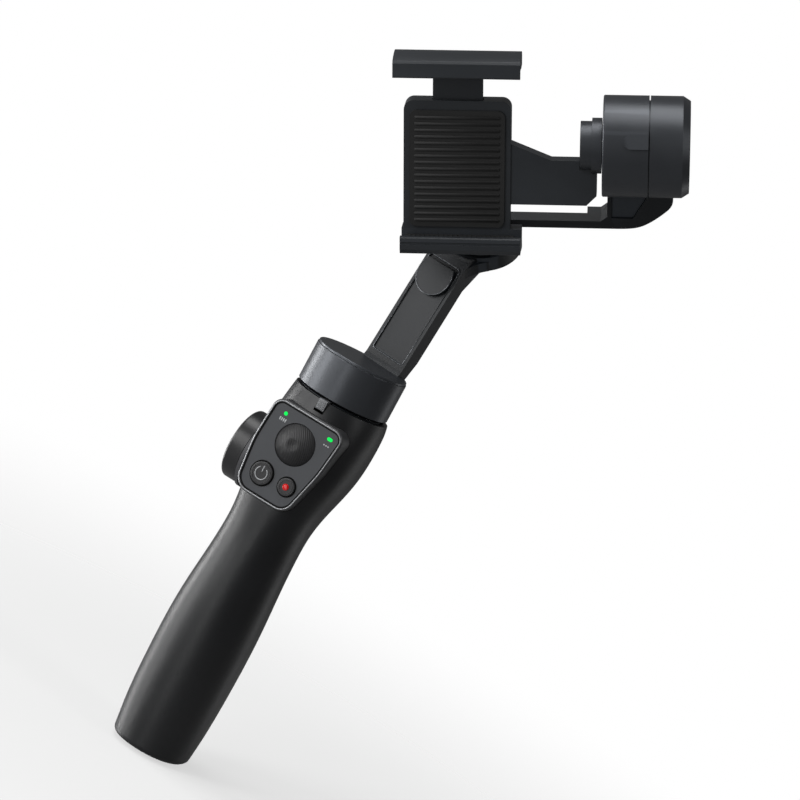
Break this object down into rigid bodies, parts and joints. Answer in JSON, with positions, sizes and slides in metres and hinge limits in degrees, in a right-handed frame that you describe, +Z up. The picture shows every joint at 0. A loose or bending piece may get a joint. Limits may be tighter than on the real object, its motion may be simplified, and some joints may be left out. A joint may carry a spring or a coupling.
{
  "type": "camera gimbal",
  "caption": "Handheld three-axis camera gimbal for a phone: tapered grip with control panel, pan motor, leaning arm, roll motor, elbow arm, tilt motor and sprung phone clamp.",
  "frame": {"origin": "centre of the tripod thread's mouth in the flat base of the handle, on the pan axis", "axes": "+Z up along the handle and pan axis, -Y towards the control panel, +X to the user's right"},
  "size_m": [0.1311, 0.0852, 0.3522],
  "materials": {
    "shell_black": "satin",
    "motor_grey": "satin",
    "arm_grey": "satin",
    "jaw_grey": "satin",
    "panel_grey": "matte",
    "bezel_grey": "satin",
    "button_black": "matte",
    "wheel_black": "satin",
    "lamp_green": "gloss",
    "lamp_red": "gloss",
    "brass": "machined",
    "steel": "machined",
    "screw_steel": "black oxide",
    "magnet": "nickel plated",
    "copper": "enamelled wire",
    "lamination": "stacked",
    "board": "solder mask",
    "cell_wrap": "shrink wrap",
    "inner_plastic": "moulded",
    "pad_rubber": "matte",
    "lock_grey": "satin"
  },
  "bodies": {
    "handle": {"handle_front_shell": "shell_black", "handle_rear_shell": "shell_black", "base_plug": "shell_black", "tripod_insert": "brass", "battery_cell": "cell_wrap", "battery_holder": "inner_plastic", "main_board": "board", "motor_driver_board": "board", "charging_port": "steel", "panel_bezel": "bezel_grey", "panel_face": "panel_grey", "status_light": "lamp_green", "mode_light": "lamp_green", "joystick_socket": "inner_plastic", "tact_switches": "inner_plastic", "wheel_plate": "inner_plastic", "wheel_encoder": "inner_plastic", "pan_motor_mount": "arm_grey", "pan_bearings": "steel", "pan_stator": "lamination", "pan_windings": "copper", "handle_screws": "screw_steel", "mount_screws": "screw_steel"},
    "joystick_rocker": {"joystick_rocker": "inner_plastic"},
    "joystick_cap": {"joystick_cap": "button_black"},
    "power_button": {"power_button": "button_black"},
    "record_button": {"record_button": "button_black", "record_lens": "lamp_red"},
    "zoom_wheel": {"zoom_wheel": "wheel_black"},
    "pan_lock_tab": {"pan_lock_tab": "lock_grey"},
    "pan": {"pan_motor_cup": "motor_grey", "pan_top_plate": "motor_grey", "pan_shaft": "steel", "pan_magnet_ring": "magnet", "pan_arm": "arm_grey", "arm_cover": "arm_grey", "arm_cap": "arm_grey", "roll_stator": "lamination", "roll_bearing": "steel", "arm_screws": "screw_steel"},
    "roll": {"roll_rotor": "motor_grey", "roll_magnet_ring": "magnet", "roll_arm": "arm_grey", "roll_arm_cover": "arm_grey", "tilt_motor_housing": "motor_grey", "tilt_motor_cap": "motor_grey", "tilt_motor_tab": "motor_grey", "tilt_stator": "lamination", "tilt_bearings": "steel", "tilt_encoder_board": "board"},
    "tilt": {"tilt_shaft": "steel", "tilt_rotor": "magnet", "tilt_hub": "motor_grey", "clamp_frame": "jaw_grey", "clamp_pad": "pad_rubber", "lower_jaw_pad": "pad_rubber", "clamp_springs": "steel", "guide_rods": "steel"},
    "upper_jaw": {"upper_jaw": "jaw_grey", "upper_jaw_pad": "pad_rubber"}
  },
  "joints": [
    {"name": "pan_turn", "type": "hinge", "parent": "handle", "child": "pan", "pos_m": [0, 0, 0.19], "axis": [0, 0, 1], "range_deg": [-145, 175]},
    {"name": "roll_turn", "type": "hinge", "parent": "pan", "child": "roll", "pos_m": [0, 0, 0.2943], "axis": [-0.1785, -0.6661, 0.7242], "range_deg": [-200, 118]},
    {"name": "tilt_turn", "type": "hinge", "parent": "roll", "child": "tilt", "pos_m": [0, 0, 0.2943], "axis": [0.845, 0.2733, 0.4597], "range_deg": [-120, 6.5]},
    {"name": "upper_jaw_slide", "type": "slide", "parent": "tilt", "child": "upper_jaw", "axis": [-0.3788, -0.3009, 0.8752], "range_m": [-0.013, 0.014], "stiffness_N_per_m": 60},
    {"name": "joystick_up_down", "type": "hinge", "parent": "handle", "child": "joystick_rocker", "pos_m": [0, -0.0167, 0.1482], "axis": [1, 0, 0], "range_deg": [-7, 7], "stiffness_Nm_per_rad": 0.02},
    {"name": "joystick_left_right", "type": "hinge", "parent": "joystick_rocker", "child": "joystick_cap", "pos_m": [0, -0.0167, 0.1482], "axis": [0, 0, 1], "range_deg": [-7, 7], "stiffness_Nm_per_rad": 0.02},
    {"name": "power_press", "type": "slide", "parent": "handle", "child": "power_button", "axis": [0, 1, 0], "range_m": [0, 0.0008], "stiffness_N_per_m": 800},
    {"name": "record_press", "type": "slide", "parent": "handle", "child": "record_button", "axis": [0, 1, 0], "range_m": [0, 0.0008], "stiffness_N_per_m": 800},
    {"name": "zoom_wheel_turn", "type": "hinge", "parent": "handle", "child": "zoom_wheel", "pos_m": [-0.021, -0.0054, 0.1336], "axis": [1, 0, 0], "continuous": true},
    {"name": "pan_lock_slide", "type": "slide", "parent": "handle", "child": "pan_lock_tab", "axis": [0, 0, 1], "range_m": [-0.0008, 0.0005]}
  ]
}
